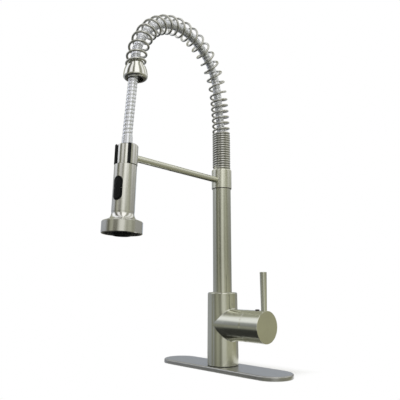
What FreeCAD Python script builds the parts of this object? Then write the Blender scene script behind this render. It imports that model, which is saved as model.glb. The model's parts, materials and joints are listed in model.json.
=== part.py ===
import FreeCAD, Part
import math
import os

# Spring kitchen faucet, in millimetres.
# +Z is up and the sink deck is the plane z = 0. The origin is on the axis of the body and the riser.
# The deck plate lies along X, the handle points to +X, and the spout hangs over the sink towards -Y.

# Deck plate and its gasket
plate_length = 260.0
plate_width = 61.0
plate_height = 6.3
plate_round = 2.0
plate_rim = 3.0
gasket_height = 2.0

# Shank and the fasteners under the deck
deck_thickness = 20.0
shank_r = 16.0
shank_bore_r = 12.0
shank_drop = 62.0
shank_socket_depth = 10.0
shank_hole_gap = 1.0
washer_r = 26.0
rubber_washer_height = 3.0
steel_washer_height = 2.0
nut_height = 12.0
nut_across_flats = 46.0

# Body and its side branch
seal_ring_r = 24.0
seal_ring_height = 1.0
body_bottom_r = 24.95
body_top_r = 23.95
body_top_z = 120.2
body_edge = 2.4
branch_z = 69.86
branch_r = 24.2
branch_fillet = 2.0
inlet_r = 4.0
outlet_r = 6.0
port_offset = 9.0
port_r = 3.5

# Valve cartridge, measured along the branch from the body axis
cartridge_r = 17.4
cartridge_start = 10.0
cartridge_seal_height = 2.0
cartridge_floor = 10.0
cartridge_bore_r = 14.0
fixed_disc_height = 4.0
moving_disc_height = 3.9
disc_r = 10.5
disc_shift = 2.0
mixing_pocket_r = 5.0
mixing_pocket_depth = 2.0
carrier_height = 7.2
guide_flange_length = 8.2
guide_neck_r = 11.1
guide_neck_length = 4.3
guide_slot_half = 8.0
cartridge_nut_length = 6.0
cartridge_nut_slot = 5.0
nut_thread_r = 20.0
branch_front_gap = 2.0

# Valve stem; it tilts about a pin across the branch
stem_r = 4.0
stem_eye_r = 5.5
stem_tail_r = 2.4
stem_tail_length = 10.0
stem_ball_r = 3.0
stem_pin_r = 1.5
stem_pin_half = 10.4
stem_reach = 34.0

# Dome cap and handle
seam_from_pivot = 12.0
seam_rim = 1.0
dome_wall = 1.8
dome_opening_r = 14.8
hub_length = 33.84
hub_edge = 0.4
lever_from_end = 5.54
lever_bottom_r = 4.4
lever_top_r = 5.3
lever_length = 57.4
lever_edge = 0.6
lever_pin_r = 4.0
lever_pin_depth = 10.0
grub_r = 2.5
grub_length = 12.0
grub_from_seam = 18.0
index_from_seam = 15.4
index_r = 3.3
index_height = 1.5
index_pin_r = 2.0
index_pin_depth = 6.0

# Riser and its swivel in the body
riser_r = 15.28
riser_bore_r = 12.5
riser_above_arm = 8.4
riser_socket_depth = 28.2
riser_foot_gap = 1.0
seal_bore_depth = 11.0
swivel_flange_r = 17.2
swivel_flange_height = 2.0
gland_r = 18.0
gland_recess = 0.5
o_ring_r = 1.0
o_ring_seat_r = 13.6
o_ring_steps = (4.2, 8.2)

# Arm collar, support arm and dock ring
collar_r = 16.8
collar_below_arm = 13.2
collar_above_arm = 19.5
collar_round = 2.5
collar_line_height = 1.0
collar_line_r = 16.2
collar_screw_r = 1.5
spout_swing_deg = 7.02
arm_z = 305.6
arm_r = 4.9
dock_reach = 215.3
dock_r = 15.9
dock_wall = 1.6
dock_above = 14.8
dock_below = 13.0
dock_round = 1.5
dock_open_turn_deg = 12.0
dock_open_half_deg = 60.0
liner_wall = 1.3
liner_inset = 0.5
liner_proud = 0.5
liner_open_half_deg = 45.0
lip_inset = 0.1
lip_gap_deg = 0.4

# Spring spigot, spring and its arch
spigot_r = 11.0
spigot_flange_r = 15.2
spigot_flange_height = 4.0
spigot_plug_length = 18.0
spigot_past_lean = 2.0
spring_mean_r = 13.5
wire_r = 1.75
spring_seat_gap = 0.3
closed_turns = 15
closed_pitch = 4.05
low_turns = 5.2
low_pitch = 10.2
high_turns = 16.8
tip_turns = 0.75
tip_pitch = 10.4
spring_tip_rise = 0.8
spring_start_turn = 0.05
spring_stop_length = 4.0
lean_above_collar = 46.9
lean_r = 460.0
lean_deg = 11.1
ferrule_inset = 13.3
spring_tail_drop = 2.5

# Ferrule on the spring's free end
ferrule_top_r = 14.7
ferrule_swell_r = 16.5
ferrule_swell_drop = 6.0
ferrule_bulge_r = 17.4
ferrule_lip = 3.0
ferrule_height = 18.0
ferrule_bulge_height = 4.6
ferrule_bore_r = 9.8
ferrule_cup_r = 11.4
ferrule_cup_depth = 13.0
ferrule_spigot_r = 10.9
ferrule_spigot_height = 8.0

# Ribbed hose
hose_r = 6.85
hose_root_r = 6.25
hose_bore_r = 4.5
hose_tail_depth = 12.0
hose_play = 0.5
hose_side_shift = 1.8
hose_bend_rise = 36.0
hose_last_bend_r = 200.0
rib_pitch = 5.0
rib_flank = 0.8
rib_groove = 0.6

# Spray wand, along its own axis from the middle of the dock, minus downwards
wand_tilt_deg = 2.3
wand_turn_deg = 13.0
neck_r = 12.5
neck_edge = 0.8
wand_top_r = 15.4
wand_low_r = 15.6
wand_gap = 0.4
wand_edge = 0.6
wand_straight = 64.0
flare_r = 18.4
flare_length = 10.0
flare_mid_r = 16.4
flare_mid_height = 3.0
bell_r = 27.5
bell_shoulder = 3.6
bell_edge = 1.2
bell_height = 16.0
bell_wall = 2.2
bell_cavity_depth = 12.5
wand_bore_r = 13.3
wand_bore_top = 15.0
wand_floor_slope = 2.0
neck_bore_r = 9.6
swivel_bore_r = 10.8
swivel_top = 2.0

# Hose nut in the wand's neck
hose_nut_r = 9.3
hose_nut_proud = 1.2
hose_nut_flange_r = 10.4
hose_nut_flange_height = 2.6
hose_nut_tail_r = 8.0
hose_nut_tail_length = 5.0
hose_end_height = 4.0
hose_washer_height = 1.2
sleeve_length = 11.0
sleeve_wall = 0.45

# Waterway, manifold, spray face and aerator
waterway_r = 8.5
waterway_bore_r = 5.0
waterway_flange_r = 13.0
waterway_flange_height = 3.0
manifold_r = 24.9
manifold_hub_r = 12.4
manifold_height = 6.0
face_r = 25.0
face_recess = 0.8
aerator_r = 12.5
aerator_proud = 2.7
aerator_bore_r = 10.5
aerator_throat_r = 8.5
aerator_edge = 1.0
screen_height = 1.5
screen_depth = 2.4
screen_hole_r = 0.8
screen_ring_step = 2.6
screen_rings = 3
nozzle_r = 0.9
nozzle_length = 4.6
nozzle_proud = 0.9
inner_nozzle_ring_r = 16.2
inner_nozzle_count = 14
outer_nozzle_ring_r = 20.8
outer_nozzle_count = 18

# Rocker button and diverter
button_drop = 47.8
bezel_length = 33.0
bezel_width = 14.0
bezel_rim = 1.6
bezel_proud = 0.3
bezel_depth = 3.2
rocker_gap = 0.6
rocker_proud = 0.9
rocker_depth = 5.4
rocker_edge = 0.5
rocker_pin_r = 0.8
rocker_pin_depth = 1.5
rocker_pin_grip = 1.1
finger_r = 1.2
finger_gap = 0.4
finger_tip_r = 3.5
spool_length = 24.0
spool_groove_r = 3.0
slot_half_length = 3.2
slot_half_width = 1.9

# Clearances
fit_gap = 0.05
slip_gap = 0.1
swivel_gap = 0.15
run_gap = 0.3
move_gap = 0.4
sphere_gap = 0.3
socket_gap = 0.35

# Places that follow from the sizes above
body_bottom_z = plate_height + seal_ring_height
riser_top_z = arm_z + riser_above_arm
collar_bottom_z = arm_z - collar_below_arm
collar_top_z = arm_z + collar_above_arm
lean_start_z = collar_top_z + lean_above_collar
hose_tail_z = riser_top_z - hose_tail_depth
socket_floor_z = body_top_z - riser_socket_depth
pocket_floor_z = socket_floor_z + seal_bore_depth
seal_bore_r = o_ring_seat_r + 2 * o_ring_r + 2 * fit_gap + slip_gap
riser_foot_z = socket_floor_z + riser_foot_gap
flange_floor_z = pocket_floor_z + 2 * slip_gap
gland_floor_z = flange_floor_z + swivel_flange_height + run_gap
gland_top_z = body_top_z - gland_recess

housing_start = cartridge_start + cartridge_seal_height
fixed_disc_start = housing_start + cartridge_floor
moving_disc_start = fixed_disc_start + fixed_disc_height + slip_gap
carrier_start = moving_disc_start + moving_disc_height
guide_start = carrier_start + carrier_height + run_gap
guide_neck_start = guide_start + guide_flange_length
nut_start = guide_neck_start + run_gap
pivot_x = nut_start
branch_end = nut_start + cartridge_nut_length + branch_front_gap
seam_x = pivot_x + seam_from_pivot
hub_end_x = seam_x + hub_length
dome_r = math.hypot(branch_r - seam_rim, seam_from_pivot)
hub_cavity_r = dome_r + sphere_gap
lever_x = hub_end_x - lever_from_end
stem_end_x = pivot_x + stem_reach
grub_x = seam_x + grub_from_seam
index_x = seam_x + index_from_seam
ball_x = pivot_x - stem_tail_length

collar_bore_r = riser_r + fit_gap
spigot_top_z = lean_start_z + spigot_past_lean
spigot_flange_z = riser_top_z + spigot_flange_height
spigot_bore_r = hose_r + hose_play
liner_r = dock_r - dock_wall - fit_gap
liner_bore_r = liner_r - liner_wall

lean = math.radians(lean_deg)
ferrule_reach = dock_reach - ferrule_inset
arch_r = (ferrule_reach - lean_r * (1 - math.cos(lean))) / (1 + math.cos(lean))
hose_arch_r = arch_r + hose_side_shift / (1 + math.cos(lean))
wand_tilt = math.radians(wand_tilt_deg)
lip_share = 1 - math.sqrt(0.5)

ring_bottom = -dock_below
ring_top = dock_above
shoulder_top = ring_bottom - wand_gap
flare_top = shoulder_top - wand_straight
flare_bottom = flare_top - flare_length
bell_top = flare_bottom - bell_shoulder
bell_bottom = bell_top - bell_height
bell_bore_r = bell_r - bell_wall
bell_cavity_top = bell_bottom + bell_cavity_depth
wand_bore_floor = bell_cavity_top + wand_floor_slope
hose_nut_top = ring_top + hose_nut_proud
hose_nut_flange_top = -swivel_top - run_gap
manifold_bottom = bell_cavity_top - manifold_height
face_bottom = bell_bottom + face_recess
aerator_bottom = bell_bottom - aerator_proud
button_z = -button_drop

V = FreeCAD.Vector
ORIGIN = V(0, 0, 0)
X = V(1, 0, 0)
Y = V(0, 1, 0)
Z = V(0, 0, 1)


# Shape helpers

def rod(r, start, end, axis=Z, at=ORIGIN):
    """A cylinder along an axis through a point, between two distances along it."""
    return Part.makeCylinder(r, end - start, at + axis * start, axis)


def tube(r_out, r_in, start, end, axis=Z, at=ORIGIN):
    return rod(r_out, start, end, axis, at).cut(rod(r_in, start, end, axis, at))


def chain(points):
    """Straight edges through a row of (radius, height) points."""
    row = [V(r, 0, z) for r, z in points]
    return [Part.LineSegment(a, b).toShape() for a, b in zip(row, row[1:])]


def bow(a, middle, b):
    """An arc through three (radius, height) points."""
    return Part.Arc(V(a[0], 0, a[1]), V(middle[0], 0, middle[1]), V(b[0], 0, b[1])).toShape()


def revolved(edges):
    return Part.Face(Part.Wire(edges)).revolve(ORIGIN, Z, 360)


def turned(outline):
    """A solid of revolution about Z from a closed outline of (radius, height) points."""
    return revolved(chain(outline + outline[:1]))


def stadium(length, width, z0, z1):
    """A long plate with round ends, its length along X."""
    r = width / 2
    half = length / 2 - r
    a, b = V(-half, -r, z0), V(half, -r, z0)
    c, d = V(half, r, z0), V(-half, r, z0)
    edges = [
        Part.LineSegment(a, b).toShape(),
        Part.Arc(b, V(half + r, 0, z0), c).toShape(),
        Part.LineSegment(c, d).toShape(),
        Part.Arc(d, V(-half - r, 0, z0), a).toShape(),
    ]
    return Part.Face(Part.Wire(edges)).extrude(V(0, 0, z1 - z0))


def flat_edges(shape, z, r_min=0.0):
    """The edges that lie in one level plane, outside a radius about Z."""
    found = []
    for edge in shape.Edges:
        box = edge.BoundBox
        reach = max(math.hypot(v.X, v.Y) for v in edge.Vertexes)
        if abs(box.ZMin - z) < 1e-4 and abs(box.ZMax - z) < 1e-4 and reach >= r_min - 1e-4:
            found.append(edge)
    return found


def rounded(shape, radius, z, r_min=0.0):
    return shape.makeFillet(radius, flat_edges(shape, z, r_min))


def wedge(centre_deg, half_deg, z0, z1, reach):
    """A sector about Z, for cutting an opening out of a ring."""
    a, h = math.radians(centre_deg), math.radians(half_deg)
    far = reach / math.cos(h / 2)
    turns = (a - h, a - h / 2, a, a + h / 2, a + h)
    points = [V(0, 0, z0)] + [V(far * math.cos(t), far * math.sin(t), z0) for t in turns]
    return Part.Face(Part.makePolygon(points + points[:1])).extrude(V(0, 0, z1 - z0))


def around(r, count):
    """Evenly spaced (x, y) places on a circle."""
    step = 2 * math.pi / count
    return [(r * math.cos(step * k), r * math.sin(step * k)) for k in range(count)]


def swung(shape):
    """From the spout's own plane, with its reach along X, to its place over the sink."""
    out = shape.copy()
    out.rotate(ORIGIN, Z, spout_swing_deg - 90)
    return out


def docked(shape):
    """From the wand's own axis to its place in the dock."""
    out = shape.copy()
    out.rotate(ORIGIN, Y, -wand_tilt_deg)
    out.translate(V(dock_reach, 0, arm_z))
    return swung(out)


def wand_turned(shape):
    """Turn a piece of the wand about its axis, as far as the wand is turned in the dock."""
    out = shape.copy()
    out.rotate(ORIGIN, Z, wand_turn_deg)
    return out


class PlanePath:
    """Straight runs and tangent arcs in the spout's plane; the heading is the angle from up towards X."""

    def __init__(self, x, z, heading=0.0):
        self.end = (x, z, heading)
        self.runs = []
        self.length = 0.0

    def step(self, length, bend):
        """Add a run; bend is one over its radius, positive towards X when heading up."""
        self.runs.append((self.length, length, bend, self.end))
        self.end = self.along(self.runs[-1], length)
        self.length += length
        return self

    def line(self, length):
        return self.step(length, 0.0)

    def arc(self, radius, turn):
        return self.step(radius * abs(turn), math.copysign(1 / radius, turn))

    @staticmethod
    def along(run, t):
        bend, (x, z, h) = run[2], run[3]
        if bend == 0.0:
            return (x + t * math.sin(h), z + t * math.cos(h), h)
        g = h + t * bend
        return (x + (math.cos(h) - math.cos(g)) / bend, z + (math.sin(g) - math.sin(h)) / bend, g)

    def at(self, s):
        """Place, heading and bend at a distance along the path."""
        run = [r for r in self.runs if r[0] <= s + 1e-9][-1] if s > 0 else self.runs[0]
        x, z, h = self.along(run, s - run[0])
        return V(x, 0, z), h, run[2]

    def wire(self):
        edges = []
        for start, length, bend, _ in self.runs:
            a, b = self.at_run(start, 0.0), self.at_run(start, length)
            if bend == 0.0:
                edges.append(Part.LineSegment(a, b).toShape())
            else:
                edges.append(Part.Arc(a, self.at_run(start, length / 2), b).toShape())
        return Part.Wire(edges)

    def at_run(self, start, t):
        run = [r for r in self.runs if r[0] == start][0]
        x, z, _ = self.along(run, t)
        return V(x, 0, z)


# Deck plate and fasteners

def deck_plate():
    plate = stadium(plate_length, plate_width, 0, plate_height)
    plate = plate.makeFillet(plate_round, flat_edges(plate, plate_height))
    plate = plate.cut(stadium(plate_length - 2 * plate_rim, plate_width - 2 * plate_rim, 0, gasket_height))
    return plate.cut(rod(shank_r + shank_hole_gap, 0, plate_height))


def deck_gasket():
    inset = 2 * (plate_rim + slip_gap)
    gasket = stadium(plate_length - inset, plate_width - inset, 0, gasket_height)
    return gasket.cut(rod(shank_r + shank_hole_gap, 0, gasket_height))


def base_seal_ring():
    return tube(seal_ring_r, shank_r + shank_hole_gap, plate_height, body_bottom_z)


def mounting_shank():
    return tube(shank_r, shank_bore_r, -shank_drop, body_bottom_z + shank_socket_depth)


def rubber_washer():
    return tube(washer_r, shank_r + run_gap, -deck_thickness - rubber_washer_height, -deck_thickness)


def steel_washer():
    top = -deck_thickness - rubber_washer_height
    return tube(washer_r, shank_r + run_gap, top - steel_washer_height, top)


def mounting_nut():
    top = -deck_thickness - rubber_washer_height - steel_washer_height
    far = nut_across_flats / math.sqrt(3)
    corners = [V(x, y, top - nut_height) for x, y in around(far, 6)]
    hexagon = Part.Face(Part.makePolygon(corners + corners[:1])).extrude(V(0, 0, nut_height))
    return hexagon.cut(rod(shank_r + slip_gap, top - nut_height, top))


# Body

def ports(r, start, end, centre_z):
    """The two inlet ports and the outlet port, along X."""
    places = (V(0, port_offset, centre_z), V(0, -port_offset, centre_z), V(0, 0, centre_z + port_offset))
    drills = [rod(r, start, end, X, at) for at in places]
    return drills[0].multiFuse(drills[1:])


def junction_edges(shape):
    """The curve where the branch leaves the body: curved edges that span all the branch's width."""
    found = []
    for edge in shape.Edges:
        box = edge.BoundBox
        level = box.ZLength < 1e-3
        if not level and box.XMax < branch_end - 1 and box.XMin > 0 and box.YLength > branch_r / 2:
            found.append(edge)
    return found


def faucet_body():
    height = body_top_z - body_bottom_z
    pillar = Part.makeCone(body_bottom_r, body_top_r, height, V(0, 0, body_bottom_z))
    branch = rod(branch_r, 0, branch_end, X, V(0, 0, branch_z))
    body = pillar.fuse(branch).removeSplitter()
    body = body.makeFillet(branch_fillet, junction_edges(body))
    body = body.makeFillet(body_edge, flat_edges(body, body_top_z))
    at = V(0, 0, branch_z)
    cuts = [
        rod(cartridge_r + 2 * slip_gap, cartridge_start, nut_start, X, at),
        rod(nut_thread_r, nut_start, branch_end, X, at),
        ports(port_r, 0, cartridge_start, branch_z),
        rod(outlet_r, branch_z + port_offset, socket_floor_z),
        rod(inlet_r, body_bottom_z, branch_z, Z, V(0, port_offset, 0)),
        rod(inlet_r, body_bottom_z, branch_z, Z, V(0, -port_offset, 0)),
        rod(shank_r + fit_gap, body_bottom_z, body_bottom_z + shank_socket_depth),
        rod(seal_bore_r, socket_floor_z, pocket_floor_z),
        rod(gland_r, pocket_floor_z, body_top_z),
    ]
    return body.cut(cuts[0].multiFuse(cuts[1:]))


# Cartridge

def cartridge_seal():
    seal = rod(cartridge_r - slip_gap, cartridge_start, housing_start, X, V(0, 0, branch_z))
    return seal.cut(ports(port_r, cartridge_start, housing_start, branch_z))


def cartridge_housing():
    at = V(0, 0, branch_z)
    housing = rod(cartridge_r, housing_start, nut_start, X, at)
    housing = housing.cut(rod(cartridge_bore_r, fixed_disc_start, nut_start, X, at))
    return housing.cut(ports(port_r, housing_start, fixed_disc_start, branch_z))


def fixed_disc():
    end = fixed_disc_start + fixed_disc_height
    disc = rod(cartridge_bore_r - 2 * slip_gap, fixed_disc_start, end, X, V(0, 0, branch_z))
    return disc.cut(ports(port_r, fixed_disc_start, end, branch_z))


def moving_disc():
    at = V(0, 0, branch_z - disc_shift)
    disc = rod(disc_r, moving_disc_start, carrier_start, X, at)
    return disc.cut(rod(mixing_pocket_r, moving_disc_start, moving_disc_start + mixing_pocket_depth, X, at))


def disc_carrier():
    end = carrier_start + carrier_height
    carrier = rod(disc_r, carrier_start, end, X, V(0, 0, branch_z - disc_shift))
    socket = rod(stem_ball_r + socket_gap, ball_x - stem_ball_r - socket_gap, end, X, V(0, 0, branch_z))
    return carrier.cut(socket)


def stem_guide():
    at = V(0, 0, branch_z)
    end = guide_neck_start + guide_neck_length
    guide = rod(cartridge_bore_r - move_gap, guide_start, guide_neck_start, X, at)
    guide = guide.fuse(rod(guide_neck_r, guide_neck_start, end, X, at)).removeSplitter()
    half = stem_r + socket_gap
    slot_corner = V(guide_start, -half, branch_z - guide_slot_half)
    slot = Part.makeBox(end - guide_start, 2 * half, 2 * guide_slot_half, slot_corner)
    pin_hole = rod(stem_pin_r + fit_gap, -guide_neck_r, guide_neck_r, Y, V(pivot_x, 0, branch_z))
    return guide.cut(slot.fuse(pin_hole))


def stem_pin():
    return rod(stem_pin_r, -stem_pin_half, stem_pin_half, Y, V(pivot_x, 0, branch_z))


def cartridge_nut():
    at = V(0, 0, branch_z)
    end = nut_start + cartridge_nut_length
    nut = tube(nut_thread_r - slip_gap, guide_neck_r + move_gap, nut_start, end, X, at)
    half = cartridge_nut_slot / 2
    for side in (Y, Z):
        across = V(0, 0, 1) if side == Y else V(0, 1, 0)
        corner = V(end - half, 0, branch_z) - side * nut_thread_r - across * half
        size = V(half, 0, 0) + side * (2 * nut_thread_r) + across * cartridge_nut_slot
        nut = nut.cut(Part.makeBox(size.x, size.y, size.z, corner))
    return nut


def dome_cap():
    at = V(pivot_x, 0, branch_z)
    front = rod(branch_r, branch_end, seam_x + dome_r, X, V(0, 0, branch_z))
    dome = front.common(Part.makeSphere(dome_r, at))
    dome = dome.cut(Part.makeSphere(dome_r - dome_wall, at))
    return dome.cut(rod(dome_opening_r, branch_end, seam_x + dome_r, X, V(0, 0, branch_z)))


# Handle

def valve_stem():
    at = V(0, 0, branch_z)
    shaft = rod(stem_r, pivot_x, stem_end_x, X, at)
    eye = rod(stem_eye_r, -stem_r, stem_r, Y, V(pivot_x, 0, branch_z))
    tail = rod(stem_tail_r, ball_x, pivot_x, X, at)
    ball = Part.makeSphere(stem_ball_r, V(ball_x, 0, branch_z))
    stem = shaft.multiFuse([eye, tail, ball]).removeSplitter()
    return stem.cut(rod(stem_pin_r + slip_gap, -stem_r, stem_r, Y, V(pivot_x, 0, branch_z)))


def handle_hub():
    at = V(0, 0, branch_z)
    hub = rod(branch_r, seam_x, hub_end_x, X, at)
    end_edge = [e for e in hub.Edges if e.BoundBox.XMin > hub_end_x - 1e-4]
    hub = hub.makeChamfer(hub_edge, end_edge)
    top = branch_z + branch_r
    cuts = [
        Part.makeSphere(hub_cavity_r, V(pivot_x, 0, branch_z)),
        rod(stem_r + fit_gap, pivot_x, stem_end_x, X, at),
        rod(lever_pin_r + fit_gap, top - lever_pin_depth, top, Z, V(lever_x, 0, 0)),
        rod(grub_r + fit_gap, branch_z - branch_r, branch_z, Z, V(grub_x, 0, 0)),
        rod(index_pin_r + fit_gap, top - index_pin_depth, top, Z, V(index_x, 0, 0)),
    ]
    return hub.cut(cuts[0].multiFuse(cuts[1:]))


def hub_skin():
    """The hub's outer surface, for seating the lever and the index button on it."""
    return rod(branch_r + fit_gap, seam_x, hub_end_x, X, V(0, 0, branch_z))


def handle_lever():
    top = branch_z + branch_r
    sunk = branch_r - math.sqrt(branch_r ** 2 - lever_bottom_r ** 2) + 2 * fit_gap
    shaft = Part.makeCone(lever_bottom_r, lever_top_r, lever_length + sunk, V(lever_x, 0, top - sunk))
    shaft = rounded(shaft, lever_edge, top + lever_length)
    pin = rod(lever_pin_r, top - lever_pin_depth, top + lever_pin_r / 2, Z, V(lever_x, 0, 0))
    return shaft.cut(hub_skin()).fuse(pin).removeSplitter()


def handle_set_screw():
    top = branch_z - stem_r - fit_gap
    return rod(grub_r, top - grub_length, top, Z, V(grub_x, 0, 0))


def index_button():
    top = branch_z + branch_r
    sunk = branch_r - math.sqrt(branch_r ** 2 - index_r ** 2) + 2 * fit_gap
    head = rod(index_r, top - sunk, top + index_height, Z, V(index_x, 0, 0))
    head = rounded(head, index_height / 2, top + index_height)
    pin = rod(index_pin_r, top - index_pin_depth, top + index_height / 2, Z, V(index_x, 0, 0))
    return head.cut(hub_skin()).fuse(pin).removeSplitter()


# Riser, collar, arm and dock

def riser_tube():
    riser = rod(riser_r, riser_foot_z, riser_top_z)
    flange = rod(swivel_flange_r, flange_floor_z, flange_floor_z + swivel_flange_height)
    riser = riser.fuse(flange).removeSplitter()
    for step in o_ring_steps:
        middle = riser_foot_z + step
        half = o_ring_r + slip_gap
        riser = riser.cut(tube(riser_r, o_ring_seat_r, middle - half, middle + half))
    return riser.cut(rod(riser_bore_r, riser_foot_z, riser_top_z))


def riser_o_rings():
    major = o_ring_seat_r + o_ring_r + fit_gap
    rings = [Part.makeTorus(major, o_ring_r, V(0, 0, riser_foot_z + step)) for step in o_ring_steps]
    return Part.makeCompound(rings)


def riser_gland():
    return tube(gland_r - slip_gap, riser_r + swivel_gap, gland_floor_z, gland_top_z)


def arm_collar(spring_stop):
    collar = rod(collar_r, collar_bottom_z, collar_top_z)
    collar = rounded(collar, collar_round, collar_top_z)
    collar = collar.cut(rod(collar_bore_r, collar_bottom_z, spigot_flange_z + slip_gap))
    collar = collar.cut(rod(spigot_r + slip_gap, spigot_flange_z, collar_top_z))
    collar = collar.cut(rod(collar_screw_r + fit_gap, riser_r / 2, collar_r, X * -1, V(0, 0, arm_z)))
    return collar.fuse(spring_stop).removeSplitter()


def collar_line():
    """The dark ring between the riser and the collar."""
    return tube(collar_line_r, collar_bore_r, collar_bottom_z - collar_line_height, collar_bottom_z)


def collar_set_screw():
    screw = rod(collar_screw_r, riser_r / 2, collar_r - slip_gap, X * -1, V(0, 0, arm_z))
    return screw.cut(rod(collar_bore_r, collar_bottom_z, collar_top_z))


def dock_axis_rod(r):
    """A rod on the wand's axis, long enough to trim what meets the dock."""
    out = rod(r, -2 * dock_below, 2 * dock_above)
    out.rotate(ORIGIN, Y, -wand_tilt_deg)
    out.translate(V(dock_reach, 0, arm_z))
    return out


def support_arm():
    arm = rod(arm_r, riser_r, dock_reach - dock_r / 2, X, V(0, 0, arm_z))
    arm = arm.cut(rod(collar_r + fit_gap, collar_bottom_z, collar_top_z))
    return arm.cut(dock_axis_rod(dock_r + fit_gap))


def dock_ring():
    ring = rod(dock_r, ring_bottom, ring_top)
    ring = rounded(ring, dock_round, ring_top)
    ring = ring.cut(rod(dock_r - dock_wall, ring_bottom, ring_top))
    return ring.cut(wedge(dock_open_turn_deg, dock_open_half_deg, ring_bottom, ring_top, 2 * dock_r))


def dock_liner():
    """The lining of the dock ring, with a lip at each end that covers the end of the ring."""
    low, high = ring_bottom + liner_inset, ring_top + liner_proud
    liner = tube(liner_r, liner_bore_r, low, high)
    lips = rounded(rod(dock_r - lip_inset, low, ring_top), dock_round, ring_top)
    lips = lips.cut(rod(liner_bore_r, low, ring_top))
    lips = lips.common(wedge(dock_open_turn_deg, dock_open_half_deg - lip_gap_deg, low, high, 2 * dock_r))
    liner = liner.fuse(lips).removeSplitter()
    return liner.cut(wedge(dock_open_turn_deg, liner_open_half_deg, low, high, 2 * dock_r))


# Spring, spigot and ferrule

def spring_spigot():
    plug_r = riser_bore_r - slip_gap
    bottom = riser_top_z - spigot_plug_length
    return turned([
        (hose_bore_r, bottom), (plug_r, bottom), (plug_r, riser_top_z), (spigot_flange_r, riser_top_z),
        (spigot_flange_r, spigot_flange_z), (spigot_r, spigot_flange_z), (spigot_r, spigot_top_z),
        (spigot_bore_r, spigot_top_z), (spigot_bore_r, hose_tail_z), (hose_bore_r, hose_tail_z),
    ])


def spring_path():
    """The middle line of the spring: up from the collar, leaning in, then over to the ferrule."""
    first = collar_top_z + spring_seat_gap + wire_r
    path = PlanePath(0, first).line(lean_start_z - first).arc(lean_r, lean)
    return path.arc(arch_r, math.pi - lean).line(spring_tail_drop)


def turn_places(path):
    """Distance along the path and its rate for a turn number; each change of pitch takes one turn."""
    used = wire_r + spring_seat_gap + spring_tip_rise + closed_turns * closed_pitch + closed_pitch / 2
    used += (low_turns + 1) * low_pitch + (tip_turns + 1 / 2) * tip_pitch
    high_pitch = (path.length - used) / (high_turns + 1)
    stretches = [(closed_turns, closed_pitch), (low_turns, low_pitch)]
    stretches += [(high_turns, high_pitch), (tip_turns, tip_pitch)]
    knots = []
    start = 0
    for turns, pitch in stretches:
        knots += [(start, pitch), (start + turns, pitch)]
        start += turns + 1

    def place(turn):
        s = 0.0
        for (n0, p0), (n1, p1) in zip(knots, knots[1:]):
            span = min(turn, n1) - n0
            rate = p0 + (p1 - p0) * span / (n1 - n0)
            s += (p0 + rate) / 2 * span
            if turn <= n1:
                break
        return s, rate

    return place, knots[-1][0]


def wire_point(path, place, turn):
    """A point of the wire's middle line, and its direction there."""
    s, rate = place(turn)
    centre, h, bend = path.at(min(s, path.length))
    along = V(math.sin(h), 0, math.cos(h))
    inward = V(math.cos(h), 0, -math.sin(h))
    angle = 2 * math.pi * (turn + spring_start_turn)
    c, q = spring_mean_r * math.cos(angle), spring_mean_r * math.sin(angle)
    point = centre + inward * c + Y * q
    slope = along * (rate * (1 - bend * c)) + (inward * -q + Y * c) * (2 * math.pi)
    return point, slope.normalize()


def arc_edge(a, direction, b):
    """The arc from a to b that leaves a in the given direction."""
    chord = b - a
    unit = chord / chord.Length
    side = direction - unit * direction.dot(unit)
    if side.Length < 1e-7:
        return Part.LineSegment(a, b).toShape()
    half_turn = math.atan2(side.Length, direction.dot(unit))
    middle = (a + b) / 2 + side / side.Length * (chord.Length / 2 * math.tan(half_turn / 2))
    return Part.Arc(a, middle, b).toShape()


def biarc(a, da, b, db):
    """Two tangent arcs that join two points in the given directions."""
    chord, both = b - a, da + db
    k = 2 * (1 - da.dot(db))
    cross = chord.dot(both)
    reach = (math.sqrt(cross * cross + k * chord.dot(chord)) - cross) / k
    joint = (a + b + (da - db) * reach) / 2
    back = arc_edge(b, db * -1, joint)
    return [arc_edge(a, da, joint), back]


def spring_wire(path):
    """The spring's tube on quarter-turn biarcs with straight ends, and the wire's two ends."""
    place, total = turn_places(path)
    steps = int(round(total * 4))
    nodes = [wire_point(path, place, total * k / steps) for k in range(steps + 1)]
    (first, first_way), (last, last_way) = nodes[0], nodes[-1]
    start, end = first - first_way * (2 * wire_r), last + last_way * (2 * wire_r)
    edges = [Part.LineSegment(start, first).toShape()]
    for (a, da), (b, db) in zip(nodes, nodes[1:]):
        edges += biarc(a, da, b, db)
    edges.append(Part.LineSegment(last, end).toShape())
    spine = Part.Wire(Part.__sortEdges__(edges))
    section = Part.Wire(Part.Circle(start, first_way, wire_r).toShape())
    solid = spine.makePipeShell([section], True, False)
    print("spring volume over section times length:", solid.Volume / (math.pi * wire_r ** 2 * spine.Length))
    return solid, (start, first_way * -1), (end, last_way)


def spring_self_gap(path, per_turn=24):
    """The least gap between the wire and itself, from points along it."""
    place, total = turn_places(path)
    count = int(total * per_turn)
    points = [wire_point(path, place, total * k / count)[0] for k in range(count + 1)]
    least = min(
        (points[i] - points[j]).Length
        for i in range(count + 1)
        for j in range(i + per_turn // 2, min(i + 2 * per_turn, count + 1))
    )
    return least - 2 * wire_r


def stop_block(end, depth):
    """A block whose face the wire's end meets square; it reaches below the wire by the given depth."""
    point, way = end
    side = way.cross(Z).normalize()
    down = side.cross(way)
    if down.z > 0:
        down = down * -1
    corner = point - side * wire_r - down * wire_r
    across = side * (2 * wire_r)
    below = down * (wire_r + depth)
    outline = [corner, corner + across, corner + across + below, corner + below, corner]
    return Part.Face(Part.makePolygon(outline)).extrude(way * spring_stop_length)


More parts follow.
